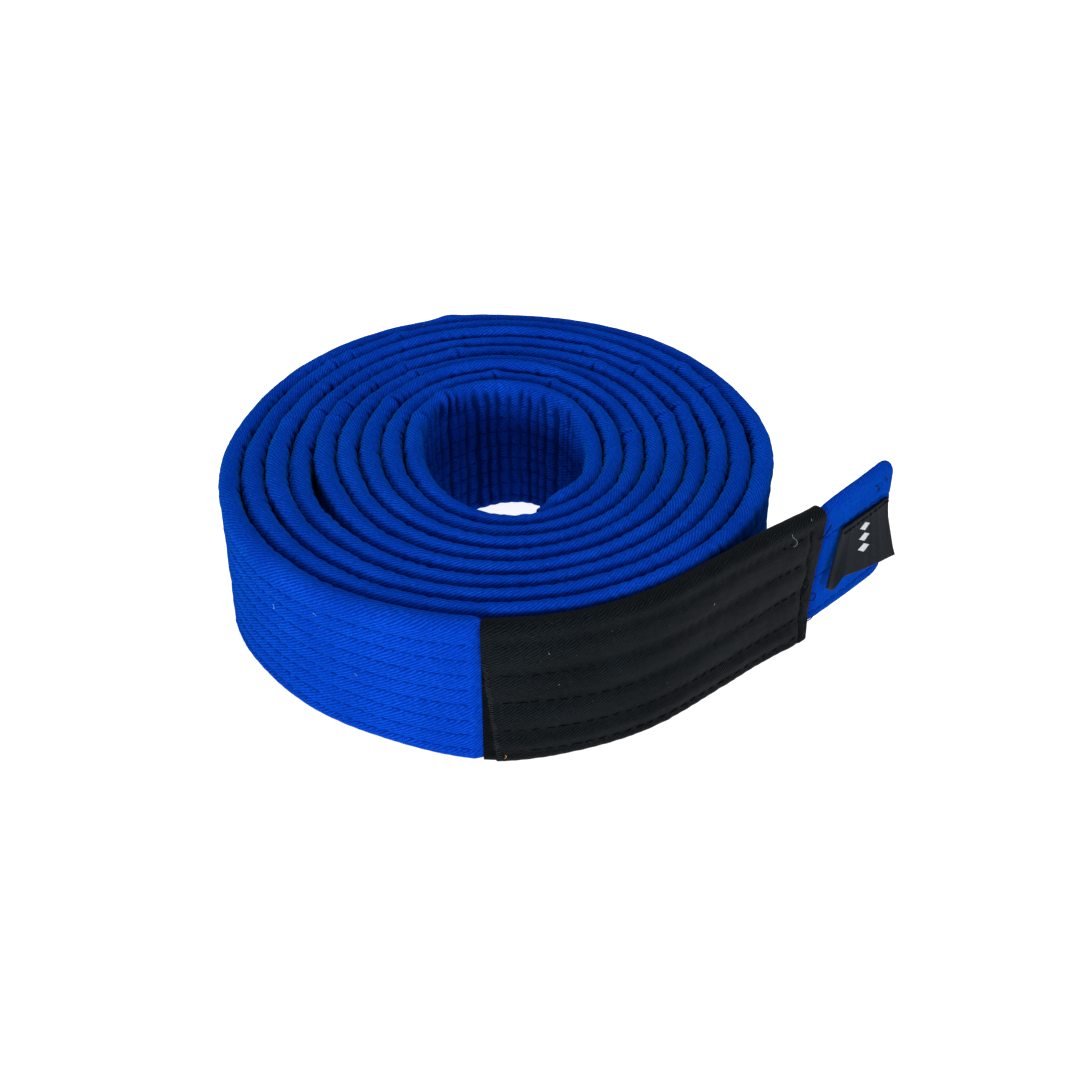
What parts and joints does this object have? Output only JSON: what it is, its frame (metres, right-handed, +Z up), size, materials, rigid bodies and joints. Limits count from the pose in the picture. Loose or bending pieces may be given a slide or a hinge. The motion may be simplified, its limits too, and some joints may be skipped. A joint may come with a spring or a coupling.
{
  "type": "martial arts belt",
  "caption": "Quilted cotton martial arts belt rolled flat on its edge, with a black rank sleeve and a folded size label on its free tail.",
  "frame": {"origin": "centre of the footprint of the rolled belt and its tail, on the surface it stands on", "axes": "+Z up, along the belt's width; +X towards the free tip, along the longest side; -Y towards the rank sleeve; the roll winds counter-clockwise outward seen from +Z"},
  "size_m": [0.182, 0.154, 0.044],
  "materials": {
    "blue_twill": "royal blue cotton twill, matt, quilted in parallel rows",
    "core_cotton": "undyed cotton canvas ply",
    "black_twill": "black cotton twill, matt, lightly linted",
    "blue_thread": "blue polyester sewing thread",
    "black_thread": "black polyester sewing thread",
    "label_weave": "damask-woven label ribbon, slight sheen"
  },
  "bodies": {
    "coil": {"cover_coil": "blue_twill", "core_ply_inner_coil": "core_cotton", "core_ply_outer_coil": "core_cotton"},
    "inner_end": {"cover_inner_end": "blue_twill", "core_ply_inner_inner_end": "core_cotton", "core_ply_outer_inner_end": "core_cotton", "inner_hem_seam": "blue_thread"},
    "outer_turn": {"cover_outer_turn": "blue_twill", "core_ply_inner_outer_turn": "core_cotton", "core_ply_outer_outer_turn": "core_cotton", "quilt_row_1": "blue_thread", "quilt_row_2": "blue_thread", "quilt_row_3": "blue_thread", "quilt_row_4": "blue_thread", "quilt_row_5": "blue_thread", "quilt_row_6": "blue_thread", "quilt_row_7": "blue_thread", "quilt_row_8": "blue_thread"},
    "bar": {"cover_bar": "blue_twill", "core_ply_inner_bar": "core_cotton", "core_ply_outer_bar": "core_cotton", "rank_sleeve": "black_twill", "sleeve_row_1": "black_thread", "sleeve_row_2": "black_thread", "sleeve_row_3": "black_thread", "sleeve_row_4": "black_thread", "sleeve_row_5": "black_thread", "sleeve_seam_left": "black_thread", "sleeve_seam_right": "black_thread"},
    "tip": {"cover_tip": "blue_twill", "core_ply_inner_tip": "core_cotton", "core_ply_outer_tip": "core_cotton", "tip_row_1": "blue_thread", "tip_row_2": "blue_thread", "tip_row_3": "blue_thread", "label_stitch": "black_thread"},
    "label": {"size_label": "label_weave"}
  },
  "joints": [
    {"name": "inner_end_swing", "type": "hinge", "parent": "coil", "child": "inner_end", "pos_m": [0.00661, -0.00825, 0.022], "axis": [0, 0, -1], "range_deg": [0, 40]},
    {"name": "outer_turn_peel", "type": "hinge", "parent": "coil", "child": "outer_turn", "pos_m": [-0.07982, -0.03547, 0.022], "axis": [0, 0, -1], "range_deg": [0, 45]},
    {"name": "bar_swing", "type": "hinge", "parent": "outer_turn", "child": "bar", "pos_m": [-0.03081, -0.07244, 0.022], "axis": [0, 0, -1], "range_deg": [0, 50]},
    {"name": "tip_flex", "type": "hinge", "parent": "bar", "child": "tip", "pos_m": [0.06719, -0.02158, 0.022], "axis": [0, 0, -1], "range_deg": [-45, 50]},
    {"name": "label_flap", "type": "hinge", "parent": "tip", "child": "label", "pos_m": [0.07284, -0.02106, 0.031], "axis": [-0.7086, -0.7057, 0], "range_deg": [-8, 100]}
  ]
}
